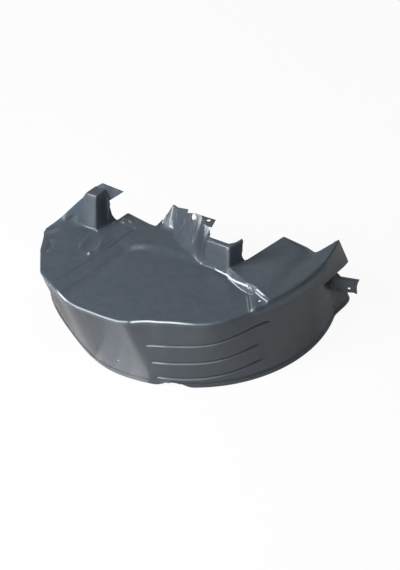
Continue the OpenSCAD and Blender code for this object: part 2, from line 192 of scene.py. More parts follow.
def ramp_lift(x, y):
    """Ramp at the right: up two short slopes, one from the step's foot line and one to its top
    line, with a narrow bead along the facet's foot, a soft valley across the ramp and a rise
    toward its right end."""
    foot = np.interp(y, [-291, -227, -216, -201, -194, -175, -158, -149],
                     [134, 131, 136, 113, 106, 94, 80, 70])
    top = np.interp(y, [-275, -241, -223, -204, -193, -174], [180, 163, 149, 121, 104, 84])
    top = np.maximum(top, foot + least_step_w)
    valley = np.abs((x - 286.0) * 0.766 - (y + 89.0) * 0.643)
    wide = np.minimum(13.0, 0.5 * (top - foot))
    slope = (0.46 * smooth((x - foot) / wide) + 0.5 * smooth((x - top) / wide + 1.0)
             + 0.04 * np.clip((x - foot) / (top - foot), 0.0, 1.0))
    bead = facet_bead_h * np.exp(-((x - foot + 2.0) / 3.0) ** 2) * smooth((-216.0 - y) / 8.0)
    return (ramp_h * slope + bead
            - valley_depth * smooth((x - 150.0) / 120.0) * (1.0 - smooth(valley / 42.0))
            + ramp_rise * smooth((x - 290.0) / 60.0))


def dent_lift(x, y):
    """Long oval dent at the foot of the tower with a drawn ridge round it and a pip at its
    lower end: u and v are the place in half lengths and half widths of the oval."""
    u = ((x + 246.0) * 0.17 + (y + 34.0) * 0.985) / 46.0
    v = ((x + 246.0) * 0.985 - (y + 34.0) * 0.17) / 24.0
    r = np.sqrt(u * u + v * v)
    hollow = 1.0 - smooth((r - 0.2) / 0.75)
    ridge = np.exp(-((r - 1.0) / 0.1) ** 2)
    pip = np.exp(-((x + 251.0) ** 2 + (y + 78.0) ** 2) / 22.0)
    return dent_ridge_h * ridge - dent_depth * hollow + pip_h * pip


def crease_lift(x, y):
    """Small marks of the draw: a short groove beside the flat left side, a nick in the shoulder
    at the top of the arch, and four wrinkles by the notch."""
    d = ((x + 342.0) * 0.968 - (y + 48.0) * 0.25) / 5.0
    groove = side_groove_depth * np.exp(-d * d) * bump((y + 82.0) / 70.0)
    nick = nick_depth * np.exp(-((x + 150.0) / 5.0) ** 2 - ((y + 332.0) / 9.0) ** 2)
    wrinkles = sum(wrinkle_h * np.exp(-((x - wx) / 4.0) ** 2 - ((y - wy) / 2.4) ** 2)
                   for wx, wy in ((-174, 41), (-163, 36), (-151, 29), (-139, 20)))
    return wrinkles - groove - nick


def lift(x, y):
    """Whole form of the side wall above the shoulder's height: the greater of the two borders,
    with their meeting line rounded, and the ramp, the dent and the creases on top."""
    left, far = left_lift(x, y), far_lift(x, y)
    border = 0.5 * (left + far + np.sqrt((left - far) ** 2 + 2.2) - 1.48)
    return border + ramp_lift(x, y) + dent_lift(x, y) + crease_lift(x, y)


def on_wall(p):
    """Plan points set on the side wall."""
    return at_height(p, band_h + lift(p[..., 0], p[..., 1]))


# The upstands along the open side are drawn up from the same sheet: a sweep that rises to the
# tower, the tower, the notch, the gusset, the slanted panel, the box and the ramp's cut edge.
# Each is a run of stations: angle on the arch, foot in plan, knee and cut edge above the wall.
tower_h, tower_w, tower_d, tower_side, tower_lean = 103.0, 38.0, 37.0, 55.0, 12.0
gusset_h, box_h, box_w, box_flange = 57.0, 82.0, 64.0, 13.0
along_x = polar(1.0, -30.0)
into_y = polar(1.0, 47.0)
side_y = polar(1.0, 38.5)
tower_at = np.array([-233.0, 19.0])
tower_front = tower_at - (0.0, tower_lean)
box_at = np.array([80.0, -146.0])
gusset_at = np.array([-45.0, 5.0])


def station(a, foot, knee, knee_h, edge, edge_h, ease=4.0, gap=3.6):
    """One station: its angle, foot, knee and edge as one row of numbers, the length over which
    the sheet eases round it, and the spacing of the grid from it to the next."""
    return np.array([a, *foot, *knee, knee_h, *edge, edge_h, ease, gap])


def cut_station(a, p, ease=2.5, gap=5.0):
    """A station where the wall is simply cut off: its foot and knee are its last millimetres."""
    p = np.asarray(p, float)
    d = shoulder(np.array(a)) - p
    length = np.hypot(*d)
    m = min(8.0, 0.2 * length) / length
    k, f = p + m * d, p + 2.0 * m * d
    return station(a, f, k, float(lift(*k)), p, float(lift(*p)), ease, gap)


tower_left = tower_at - tower_w * along_x
tower_back = tower_at + tower_d * into_y
tower_mid = tower_back - 0.35 * tower_w * along_x
tower_far = tower_back - 0.8 * tower_w * along_x
sweep = [
    station(arch_start, (9 - left_flat, 5), (11 - left_flat, 13), 1,
            (14 - left_flat, 22), 2),
    station(189, (-323, 24), (-322, 36), 5, (-321, 47), 11, 14),
    station(194.5, (-292, 44), (-290, 47), 28, (-289, 52), 45, 14),
]


def tower_foot(s):
    """Plan point along the foot of the tower's right wall."""
    return tower_front + s * side_y


tower = [
    station(200, tower_left - (0, tower_lean), tower_left + (8, -3), tower_h - 1,
            tower_far, tower_h - 2, 6),
    station(211, tower_front + (-1.5, 0.8), tower_at + (-1, 0.5), tower_h,
            tower_mid, tower_h, 3.0, 2.0),
    station(213.5, tower_foot(2), tower_at + 2 * into_y, tower_h,
            tower_mid + 3 * along_x, tower_h, 3.0),
    station(216.5, tower_foot(17), tower_at + 0.5 * tower_d * into_y, tower_h,
            tower_back - 5 * along_x, tower_h),
    station(219, tower_foot(29), tower_back - 7 * into_y, tower_h - 2, tower_back, tower_h - 2),
    station(220.5, tower_foot(37), tower_foot(38.5), 30, tower_foot(41), 62),
    station(222, tower_foot(tower_side - 12), tower_foot(tower_side - 10), 16,
            tower_foot(tower_side - 7), 32),
    station(223.5, tower_foot(tower_side - 4), tower_foot(tower_side - 1), 11,
            tower_foot(tower_side + 2), 15),
]
notch = [
    cut_station(225, tower_foot(tower_side + 8), 4.0),
    cut_station(229, (-158, 74)),
    cut_station(241, (-106, 33), 4.0),
    cut_station(244.5, (-91, 25), 4.0),
]
gusset = [
    station(246.5, (-78, 33), (-77, 36), 10, (-76, 38), 14),
    station(248, (-70, 26), (-66, 34), 19, (-63, 43), 30),
    station(249.3, (-60, 16), (-55, 31), 28, (-49.5, 45), gusset_h, 3.0),
    station(250.3, gusset_at + (-3, 3), gusset_at + (-1, 18), 29, (-42, 36), gusset_h, 2.5, 2.0),
    station(251.5, gusset_at + (-1, -11), gusset_at + (3, 5), 34, (-37, 31), gusset_h + 2, 2.5),
]
panel = [
    station(254, (-41, -23), (-28, -10), 38, (-15, 14), gusset_h + 11, 1.5, 2.5),
    station(256, (-37, -32), (-26, -18), 37, (-18, 4), gusset_h + 8, 1.5),
    station(260, (-24, -55), (-11, -38), 41, (2, -19), box_h),
    station(268, (-3, -89), (10, -60), 41, (22, -29), box_h),
    station(275, (11, -106), (18, -84), 40, (26, -54), box_h - 2),
    station(277.5, (14, -110), (25, -92), 42, (37, -66), box_h - 10),
]
box_left = box_at - box_w * along_x
box_inner = box_at + (3, 14)


def box_foot(s):
    """Plan point along the foot of the box's right wall."""
    return box_at + (5, -1) + s * side_y


box = [
    station(280.5, box_left + (-4, 1), box_left + (2, 8), 52, box_left + (12, 38), box_h - 16, 5.0),
    station(284, box_left, box_left + (5, -2), box_h - 1,
            box_left + box_flange * np.array([0.8, 0.9]), box_h - 3, 4.0),
    station(303, box_at + (-1, 0), box_at + (0, 0), box_h, box_inner + (-1, 0), box_h, 6.0, 2.0),
    station(307, box_foot(0), box_foot(0), box_h, box_inner + (3, 1), box_h, 6.0),
    station(313, box_foot(16), box_foot(22) + (0, 2), box_h, box_foot(18) + (0, 9), box_h),
    station(316, box_foot(26), box_foot(42) + (0, 2), box_h,
            box_foot(42) + (-3, 9), box_h, 3.0, 4.5),
    station(318, box_foot(30), box_foot(32), 40, box_foot(35), 56, 3.0, 4.5),
    station(320, box_foot(34), box_foot(36), 28, box_foot(38), 34),
    station(322, box_foot(39), box_foot(42), 19, box_foot(45), 20),
]
ramp_cut = [
    cut_station(324, box_foot(54), 4.0, 5.5),
    cut_station(330, (214, -28), 2.5, 5.5),
    cut_station(337, (271, -66), 4.0),
    cut_station(340.5, (288, -78), 4.0),
    cut_station(343.5, (300, -70), 4.0, 4.5),
    cut_station(arch_end, shoulder(np.array(arch_end)) - (9, 7), 1.0),
]


# The sheet itself: polypropylene about 2.5 mm thick, heated and drawn over the tool in one
# piece, then trimmed. Its skin is a grid: a column at every few millimetres along the stations,
# and rows from the cut edge down the upstand, over the side wall and down the band.
MM = 0.001
sheet_t = 2.5
# The far corner of the notch and the tip of the end tab lie on the frame's box, so they give
# the place of the wheel's centre in it.
cut_corner_y, tab_tip_x = 74.0, 395.347
wheel_centre = np.array([cad_high[0] / MM - tab_tip_x, cad_high[1] / MM - cut_corner_y, 0.0])
wall_rows = 48
knee_fillet, foot_fillet, sweep_fillet, shoulder_fillet = 6.0, 7.0, 40.0, 8.0


def columns():
    """Columns between the stations: each value is the straight run between stations, averaged
    over the easing length, so that the corners of the upstands come out round."""
    rows = np.array(sweep + tower + notch + gusset + panel + box + ramp_cut)
    step = np.diff(rows, axis=0)
    reach = np.max([np.hypot(step[:, 1], step[:, 2]), np.linalg.norm(step[:, 3:6], axis=1),
                    np.linalg.norm(step[:, 6:9], axis=1),
                    0.55 * np.radians(step[:, 0]) * rim_r], axis=0)
    s = np.concatenate([[0.0], np.cumsum(reach)])
    count = np.maximum(3, np.ceil(reach / rows[:-1, 10])).astype(int)
    u = np.concatenate([s[i] + reach[i] * np.arange(n) / n for i, n in enumerate(count)]
                       + [[s[-1]]])
    ease = np.interp(u, s, rows[:, 9])
    room = np.minimum(u - s[0], s[-1] - u)
    window = np.minimum(ease, room)[:, None] * np.linspace(-1.0, 1.0, 9)
    at = u[:, None] + window
    return np.stack([np.interp(at, s, rows[:, k]).mean(axis=1) for k in range(9)], axis=1)


def unit(v):
    """Vectors divided by their own lengths."""
    return v / np.maximum(np.linalg.norm(v, axis=-1, keepdims=True), 1e-9)


def arc(p, b, q, n):
    """Round corner as a quadratic curve from p to q about b, as n points."""
    t = np.linspace(0.0, 1.0, n)[None, :, None]
    return (1 - t) ** 2 * p[:, None] + 2 * t * (1 - t) * b[:, None] + t ** 2 * q[:, None]


def toward(b, a, r, share):
    """Point from b toward a, at the distance r or at a share of the leg if that is less."""
    leg = np.linalg.norm(a - b, axis=-1)
    return b + unit(a - b) * np.minimum(r, share * leg)[:, None]


def line(p, q, n):
    """n points strictly between p and q."""
    t = np.linspace(0.0, 1.0, n + 2)[None, 1:-1, None]
    return p[:, None] * (1 - t) + q[:, None] * t


def skin_grid():
    """The outer skin as a grid of points, columns by rows. The rows run over the cut edge, the
    knee's round, the upstand, the foot's round, the side wall and the shoulder's round, and down
    the band by way of the crease, the ribs and the hem, each with rows of its own."""
    c = columns()
    a = c[:, 0]
    up = np.array([0.0, 0.0, band_h])
    foot = on_wall(c[:, 1:3])
    knee, edge = c[:, 3:6] + up, c[:, 6:9] + up
    s = on_wall(shoulder(a))
    knee_in = toward(knee, edge, knee_fillet, 0.45)
    knee_out = toward(knee, foot, knee_fillet, 0.45)
    fillet = sweep_fillet + (foot_fillet - sweep_fillet) * smooth((a - 194.0) / 8.0)
    foot_in = toward(foot, knee, fillet, 0.45)
    span = s[:, :2] - foot[:, :2]
    length = np.linalg.norm(span, axis=-1)
    t0 = np.minimum(fillet, 0.3 * length) / length
    t1 = 1.0 - np.minimum(shoulder_fillet, 0.4 * length) / length
    t = t0[:, None] + (t1 - t0)[:, None] * np.linspace(0.0, 1.0, wall_rows)[None, :]
    floor = on_wall(foot[:, None, :2] + t[..., None] * span[:, None, :])
    top = s[:, 2]
    levels = [top - shoulder_fillet, crease_z(a) + 6, crease_z(a), crease_z(a) - 8]
    counts = [3, 3, 4, 2]
    for level in rib_levels[::-1]:
        levels += [rib_z(a, level) + 5.5, rib_z(a, level) - 5.5]
        counts += [8, 2]
    levels += [np.full_like(a, 16.0), np.full_like(a, 9.0), np.zeros_like(a)]
    counts += [3, 3]
    rows = [hi[:, None] + (lo - hi)[:, None] * np.arange(n) / n
            for hi, lo, n in zip(levels[:-1], levels[1:], counts)]
    z = np.concatenate(rows + [levels[-1][:, None]], axis=1)
    band = band_point(a[:, None], z, top[:, None])
    parts = [edge[:, None], line(edge, knee_in, 3), arc(knee_in, knee, knee_out, 5),
             line(knee_out, foot_in, 9), arc(foot_in, foot, floor[:, 0], 5)[:, :-1], floor,
             arc(floor[:, -1], s, band[:, 0], 8)[:, 1:-1], band]
    return np.concatenate(parts, axis=1)


def grid_normals(p):
    """Normals of a grid of points that point into the sheet."""
    return unit(np.cross(np.gradient(p, axis=0), np.gradient(p, axis=1)))


def closed_sheet(name, outer, thickness):
    """A mesh of both skins of a grid and the strip round its border, with its place in the mesh."""
    n, m = outer.shape[:2]
    inward = grid_normals(outer)
    inward[:, -1, 2] = 0.0
    inner = outer + thickness * unit(inward)
    points = np.concatenate([outer.reshape(-1, 3), inner.reshape(-1, 3)]) + wheel_centre
    i, j = np.meshgrid(np.arange(n - 1), np.arange(m - 1), indexing="ij")
    c = (i * m + j).ravel()
    quads = np.stack([c, c + 1, c + m + 1, c + m], axis=1)
    half = n * m
    border = np.concatenate([np.arange(m - 1), np.arange(n - 1) * m + m - 1,
                             (n - 1) * m + np.arange(m - 1, 0, -1), np.arange(n - 1, 0, -1) * m])
    after = np.roll(border, -1)
    rim_quads = np.stack([border, border + half, after + half, after], axis=1)
    faces = np.concatenate([quads, (quads + half)[:, ::-1], rim_quads])
    mesh = bpy.data.meshes.new(name)
    mesh.from_pydata((points * MM).tolist(), [], faces.tolist())
    mesh.update()
    piece = bpy.data.objects.new(name, mesh)
    bpy.context.collection.objects.link(piece)
    return piece


def drawn_bead(p, start, end, width, height):
    """Raise a round-ended bead along a straight line: each point moves out of the sheet by a
    squared cosine of its distance from the line."""
    a, d = np.array(start), np.array(end) - np.array(start)
    t = np.clip((p - a) @ d / (d @ d), 0.0, 1.0)[..., None]
    off = np.clip(np.linalg.norm(p - a - t * d, axis=-1) / width, 0.0, 1.0)
    return p - (height * np.cos(np.pi / 2.0 * off) ** 2)[..., None] * grid_normals(p)


sheet = skin_grid()
# A short bead stiffens the slanted panel beside the cable hole.
sheet = drawn_bead(sheet, (4.8, -30.0, band_h + 66), (-3.6, -58.5, band_h + 25), 5.5, 2.4)
liner = closed_sheet("liner_sheet", sheet, sheet_t)


# Three flat pieces of the same sheet are left standing or lying free at the trim: the wing that
# runs on from the tower's top, the lug over the slanted panel, and the end tab, whose border is
# turned toward the front like a shallow tray.
def bent_line(bends, n):
    """n points along a bent line, with as many in each of its legs."""
    q = np.asarray(bends, float)
    t = np.linspace(0.0, 1.0, n) * (len(q) - 1)
    return np.stack([np.interp(t, np.arange(len(q)), q[:, k]) for k in range(q.shape[1])], axis=1)


def ruled(low, high, n, m):
    """Grid of straight lines between two bent lines, n columns along them and m rows across."""
    v = np.linspace(0.0, 1.0, m)[None, :, None]
    return bent_line(low, n)[:, None] * (1.0 - v) + bent_line(high, n)[:, None] * v


def upright_points(at, turn, s_z, out):
    """Points (along, height) set on an upright plane through a plan place, and moved out of it."""
    d, n = polar(1.0, turn), polar(1.0, turn - 90.0)
    plan = np.asarray(at, float) + s_z[..., :1] * d + np.asarray(out)[..., None] * n
    return np.concatenate([plan, s_z[..., 1:2]], axis=-1)


half_t = sheet_t / 2.0
wing_h, wing_l = 13.0, 46.0
wing_top = band_h + tower_h
wing_flat = ruled([(-1, wing_top - 36), (3.5, wing_top - 36),
                   (wing_l - 3, wing_top + wing_h - 6), (wing_l, wing_top + wing_h - 2)],
                  [(-28, wing_top - 3), (-20, wing_top + 5.5),
                   (-12, wing_top + wing_h), (wing_l - 2, wing_top + wing_h - 1.8)], 25, 25)
wing_grid = upright_points(tower_back, -30.0, wing_flat, np.full(wing_flat.shape[:2], -half_t))
tower_wing = closed_sheet("tower_wing", wing_grid, sheet_t)

lug_z = band_h + box_h
lug_plan = ruled([(18, -29), (23, -55), (34, -66), (42, -69)],
                 [(18, -26), (34, -33), (50, -40), (52, -42)], 25, 17)
lug = closed_sheet("lug", at_height(lug_plan, lug_z - sheet_t), sheet_t)

end_tab_at, end_tab_turn, end_tab_z = np.array([335.056, -65.052]), -10.0, 65.0
end_tab_l, end_tab_h, tray_depth = 56.0, 44.0, 3.2


def end_tab_grid(columns_along=61, rows_up=45):
    """Grid of the end tab: its outline as trimmed, waisted at the right, with the border turned
    out at the left, the top and the right by a smooth step of the distance from it."""
    l, h, z = end_tab_l, end_tab_h, end_tab_z
    bottom = [(-4, z - 2), (12, z - 1.5), (28, z - 1), (44, z - 0.5), (l, z)]
    top = [(-4, z + h + 22), (4, z + h + 12), (16, z + h + 3), (38, z + h + 1.5), (l + 5, z + h)]
    flat = ruled(bottom, top, columns_along, rows_up)
    s, v = flat[..., 0], np.linspace(0.0, 1.0, rows_up)[None, :]
    waist = 3.0 * np.sin(np.pi * v) * smooth((s - 30.0) / 30.0)
    right = smooth((s + waist - 5.0 * v - l + 6.0) / 3.0)
    upper = smooth((flat[..., 1] - z - h + 6.0) / 3.0) * smooth((s - 8.0) / 8.0)
    left = 1.0 - smooth((s - 1.0) / 3.5)
    tray = tray_depth * np.maximum(np.maximum(right, upper), left)
    moved = np.stack([s - waist, flat[..., 1]], axis=-1)
    return upright_points(end_tab_at, end_tab_turn, moved, tray - half_t)


end_tab = closed_sheet("end_tab", end_tab_grid(), sheet_t)


def trim(piece, other, operation):
    """Join another mesh to the sheet, or cut it out, and keep the result as the sheet's mesh."""
    cut = piece.modifiers.new(operation.lower(), "BOOLEAN")
    cut.operation, cut.solver, cut.object = operation, "MANIFOLD", other
    joined = piece.evaluated_get(bpy.context.evaluated_depsgraph_get())
    shaped = bpy.data.meshes.new_from_object(joined)
    piece.modifiers.clear()
    piece.data = shaped
    bpy.data.objects.remove(other)


def punch(at, axis, radius):
    """A round punch through the sheet at a place, along an axis."""
    bm = bmesh.new()
    turn = Vector(axis).to_track_quat("Z", "Y").to_matrix().to_4x4()
    place = Matrix.Translation(Vector((np.asarray(at) + wheel_centre) * MM)) @ turn
    bmesh.ops.create_cone(bm, cap_ends=True, segments=40, radius1=radius * MM,
                          radius2=radius * MM, depth=16.0 * MM, matrix=place)
    mesh = bpy.data.meshes.new("punch")
    bm.to_mesh(mesh)
    bm.free()
    tool = bpy.data.objects.new("punch", mesh)
    bpy.context.collection.objects.link(tool)
    return tool


for extra in (tower_wing, lug, end_tab):
    trim(liner, extra, "UNION")

# The holes are punched last: for clips in the band, the step's facet and the end tab, for a
# larger screw in the lug, and for a cable in the slanted panel.
clip_hole_r, lug_hole_r, cable_hole_r = 3.5, 5.0, 8.0
band_hole = band_point(np.array(241.0), np.array(44.0), np.array(band_h))
tab_hole = end_tab_at + (end_tab_l - 20.0) * polar(1.0, end_tab_turn)
for at, axis, radius in (
        (band_hole, (-0.48, -0.867, -0.134), clip_hole_r),
        ((35, -44, lug_z), (0, 0, 1), lug_hole_r),
        ((-0.65, -19.85, band_h + 72.4), (-0.677, -0.525, 0.517), cable_hole_r),
        ((153, -255, band_h + 10.3), (-0.562, -0.17, 0.81), clip_hole_r),
        ((*tab_hole, end_tab_z + 11.0), (-0.174, -0.985, 0), clip_hole_r)):
    trim(liner, punch(at, axis, radius), "DIFFERENCE")


# Finish of the sheet: dark grey plastic with a satin skin. The forming leaves clouds in the
# colour, slow waves in the gloss and dull zones where the sheet was stretched the most. Painted
# shade darkens the band and some corners and creases, and painted highlights lie as pale lines
# along the edges, steps and ribs.
def sheet_points(piece):
    """The mesh's points, as places of the drawing."""
    co = np.empty(len(piece.data.vertices) * 3)
    piece.data.vertices.foreach_get("co", co)
    return co.reshape(-1, 3) / MM - wheel_centre


def store(piece, name, values):
    """Keep one number a point on the mesh, for the finish to read."""
    piece.data.attributes.new(name, "FLOAT", "POINT").data.foreach_set("value", values)


def drawn(line_xy):
    """Bends of a line in plan set on the side wall."""
    return on_wall(np.array(line_xy, float))


def near_line(p, bends, width):
    """A bell of each point's distance from a bent line."""
    best = np.full(len(p), 1e9)
    for a, b in zip(bends[:-1], bends[1:]):
        t = np.clip((p - a) @ (b - a) / ((b - a) @ (b - a)), 0.0, 1.0)
        best = np.minimum(best, np.linalg.norm(p - a - t[:, None] * (b - a), axis=1))
    return np.exp(-(best / width) ** 2)


def signed_line(p, bends, side=None):
    """Signed distance of each point from a bent line: the distance from its nearest leg,
    positive on the given side of that leg, or on its right side in plan."""
    best, out = np.full(len(p), 1e9), np.zeros(len(p))
    for i, (a, b) in enumerate(zip(bends[:-1], bends[1:])):
        t = np.clip((p - a) @ (b - a) / ((b - a) @ (b - a)), 0.0, 1.0)
        off = p - a - t[:, None] * (b - a)
        far = np.linalg.norm(off, axis=1)
        m = side[i] if side is not None else np.array([b[1] - a[1], a[0] - b[0], 0.0])
        out = np.where(far < best, np.copysign(far, off @ m), out)
        best = np.minimum(best, far)
    return out


def soft_zone(p, centre, reach, core, ease):
    """Soft ellipsoid about a centre: 1 within the core, and 0 past core and ease together, both
    as shares of its half lengths."""
    r = np.linalg.norm((p - centre) / reach, axis=1)
    return 1.0 - smooth((r - core) / ease)


step_line = ((79.0, -157.0), (97.0, -179.0), (113.0, -200.0), (146.0, -226.0), (166.0, -258.0))
# Stretched the most: the sweep, the turn between panel and box, the panel's foot, and the left
# end of the band. Centre and half lengths of each.
stretched = (((-288, 42, 232), (44, 46, 74)), ((22, -92, 235), (17, 40, 52)),
             ((6, -62, 228), (20, 42, 58)), ((-330, -150, 80), (60, 120, 120)))
# Painted shade: the same turn, the tower's right wall and the root of the end tab, each with its
# share, and two faint lines of painted shade along the creases across the left border of the side
# wall.
painted_shade_zones = (((14, -80, 235), (20, 48, 55), 0.5), ((-211, 28, 235), (20, 24, 62), 0.6),
          ((322, -105, 120), (22, 40, 32), 0.8))
painted_shade_lines = ((((-326, -176), (-255, -106), (-206, -55)), 3.0, 0.25),
               (((-312, -215), (-250, -151), (-173, -58)), 5.0, 0.22))


def dull_and_painted_shade(piece):
    """Store how dull the skin is at each point: the greatest of the stretched zones and of bells
    along the right shoulder and the step. Store the painted shade too: the band below its
    shoulder, fading toward the right end, the painted shade zones and the painted shade lines."""
    p = sheet_points(piece)
    dull = np.zeros(len(p))
    for centre, reach in stretched:
        dull = np.maximum(dull, soft_zone(p, centre, reach, 0.35, 0.95))
    right_shoulder = on_wall(shoulder(np.linspace(267.0, 342.0, 60)))
    for bends, width in ((right_shoulder, 10.0), (drawn(step_line), 13.0)):
        dull = np.maximum(dull, near_line(p, bends, width))
    # Painted shade down the band below its shoulder, fading toward the right end.
    band = (smooth((band_h - 6.0 - p[:, 2]) / 8.0) * smooth((322.0 - p[:, 0]) / 40.0)
            * (0.6 + 0.4 * smooth((-190.0 - p[:, 0]) / 110.0)))
    for centre, reach, share in painted_shade_zones:
        band = np.maximum(band, share * soft_zone(p, centre, reach, 0.4, 0.8))
    for line_xy, width, share in painted_shade_lines:
        band = np.maximum(band, share * near_line(p, drawn(line_xy), width))
    store(piece, "dull", dull)
    store(piece, "painted_shade", band)


# Painted highlights as thin pale lines on the wall, with their half width and strength. The first
# row holds the step's outer line, the feet of the panel, the box and the tower, and the facet's
# front edge; the second holds the lines that run close beside those.
painted_highlight_strokes = (
    ((((76.8, -152), (88.8, -166.5), (100.8, -179.7), (120, -198.7), (148.8, -224.3),
       (163.2, -243.2)), 3.8, 1.0), (((21.6, -109.8), (43.2, -124.8)), 2.4, 0.8),
     (((50, -129), (72, -147)), 3.2, 0.9), (((-262.8, 27.4), (-232.8, 6.8)), 2.4, 0.6),
     (((132, -229.4), (136.8, -279.2)), 2.2, 0.16)),
    ((((81.6, -162.1), (93.6, -178.9), (105.6, -195.7), (112.8, -203.9)), 2.3, 0.9),
     (((115, -206), (136.8, -224.2)), 2.3, 0.8), (((146, -228), (177.6, -273.4)), 2.2, 0.9),
     (((124.8, -231.5), (129.6, -288.8)), 2.0, 0.12)))
# Soft painted highlights on the wall: the facet's foot, the pip, the wrinkles by the notch, the
# recess's far corner, the ridge round the dent, and the groove at the flat left side.
painted_wall_highlights = (
    (((136.8, -279.2), (132, -293.8)), 2.2, 0.8), (((164, -245), (177, -270)), 4.0, 0.1),
    (((-250.8, -80.5), (-250, -79)), 2.4, 1.0),
    (((-173, 40), (-168, 38)), 2.0, 0.5), (((-162, 36), (-157, 33)), 2.0, 0.5),
    (((-153, 29), (-149, 26)), 2.0, 0.5), (((-144, 22), (-139, 18)), 2.0, 0.5),
    (((-170, 50), (-163, 47)), 2.0, 0.3), (((-156, 44), (-150, 39)), 2.0, 0.3),
    (((-146, -52), (-134, -48.2), (-122, -48.6)), 4.0, 0.08),
    (((-249.6, 0.3), (-268.8, -37.6), (-273.6, -55.9)), 2.5, 0.05),
    (((-218.4, -11.2), (-223.2, -41.7), (-237.6, -66.2)), 2.5, 0.05),
    (((-339.6, -25.1), (-349.2, -69.7)), 2.0, 0.14), (((-350, 0), (-326, 11)), 8.0, 0.06))
# Soft painted highlights and painted light on the upstands, with heights above the wall: the
# gusset, the end of the band and the ramp, the gusset's folds, the lug, the box's edges and the
# end tab's border.
painted_raised_highlights = (
    (((-64, 24, 10), (-57, 35, 44)), 11.0, 0.11), (((345, -68, -96), (385, -75, -96)), 24.0, 0.035),
    (((160, -170, 18), (290, -110, 18)), 50.0, 0.02),
    (((-60, 19, 3), (-55, 31, 28), (-50, 43, 53)), 2.0, 0.6),
    (((-68, 27, 4), (-62, 30, 16), (-58, 34, 26)), 1.5, 0.5),
    (((22, -44, 79), (27, -54, 78), (36, -66, 70)), 2.4, 0.55),
    (((26, -103, 81), (52, -126, 83), (78, -145, 82)), 2.4, 0.2),
    (((78, -146, 82), (80, -147, 74)), 3.0, 0.5), (((80, -148, 70), (80, -149, 12)), 5.0, 0.14),
    (((336.5, -66, -116), (336.5, -66, -78)), 1.8, 0.4),
    (((388, -75, -112), (388, -75, -78)), 1.8, 0.25))


def shoulder_highlight(p):
    """The painted highlight along the shoulder over the arch's top: signed distance from the middle
    of the shoulder's round, and a level that is stepped along the arch."""
    a = np.linspace(199.0, 300.0, 80)
    corner = on_wall(shoulder(a))
    inner = on_wall(shoulder(a) - polar(shoulder_fillet, a))
    outer = band_point(a, corner[:, 2] - shoulder_fillet, corner[:, 2])
    share = np.interp(p[:, 0], [-326, -318, -306, -296, -265, -160, -153, -145, -35, 5, 60, 90],
                      [0.0, 0.8, 0.8, 0.25, 0.25, 0.5, 0.0, 1.0, 0.9, 0.2, 0.05, 0.0])
    d = signed_line(p, 0.25 * inner + 0.5 * corner + 0.25 * outer, (outer - inner)[:-1]) / 3.2
    return d, share * smooth((5.0 - np.abs(d)) / 2.0)


def nearest_edge(p, strokes):
    """Signed distance from the nearest of some thin lines, in half widths, and its level."""
    near, level = np.full(len(p), 9.0), np.zeros(len(p))
    for line_xy, width, strength in strokes:
        bends = drawn(line_xy)
        d = signed_line(p, bends) / width
        near = np.where(np.abs(d) < np.abs(near), d, near)
        level = np.maximum(level, strength * near_line(p, bends, 1.5 * width))
    return near, np.clip(1.6 * level, 0.0, level.max())


def painted_fold_shade(p):
    """Painted shade along the fold on the far half of the wall's left border line."""
    fold = drawn(((-203.0, -53.0), (-151.0, 5.0)))
    return signed_line(p, fold) / 2.6, np.minimum(1.3 * near_line(p, fold, 5.0), 0.9)


def painted_rib_glints(p):
    """Painted glints: bells along the lower lip of each rib, brightest at its two ends."""
    glints = np.zeros(len(p))
    for level, span in zip(rib_levels, rib_spans):
        turn = rib_start + span * np.linspace(0.0, 1.0, 24)
        lip = band_point(turn, rib_z(turn, level) - 2.6, np.full(24, band_h))
        glint = np.interp(np.degrees(np.arctan2(p[:, 1], p[:, 0])) % 360.0 - rib_start,
                          [0.0, 3.0, 0.55 * span, span - 2.5, span], [0.5, 0.24, 0.18, 0.05, 0.5])
        glints = np.maximum(glints, glint * near_line(p, lip, 1.3))
    return glints


def painted_highlights_and_shade(piece):
    """Store the painted highlight lines and the fold's painted shade as a signed distance and a
    level each, and the soft painted highlights as one number, the greatest of them all."""
    p = sheet_points(piece)
    outlines = [shoulder_highlight(p)] + [nearest_edge(p, row) for row in painted_highlight_strokes] + [painted_fold_shade(p)]
    for k, (near, level) in enumerate(outlines):
        store(piece, f"edge_{k}", np.clip(near, -9.0, 9.0))
        store(piece, f"edge_level_{k}", level)
    painted_highlight = painted_rib_glints(p)
    for line_xy, width, strength in painted_wall_highlights:
        painted_highlight = np.maximum(painted_highlight, strength * near_line(p, drawn(line_xy), width))
    for bends, width, strength in painted_raised_highlights:
        above_wall = np.array(bends) + (0.0, 0.0, band_h)
        painted_highlight = np.maximum(painted_highlight, strength * near_line(p, above_wall, width))
    store(piece, "painted_highlight", painted_highlight)


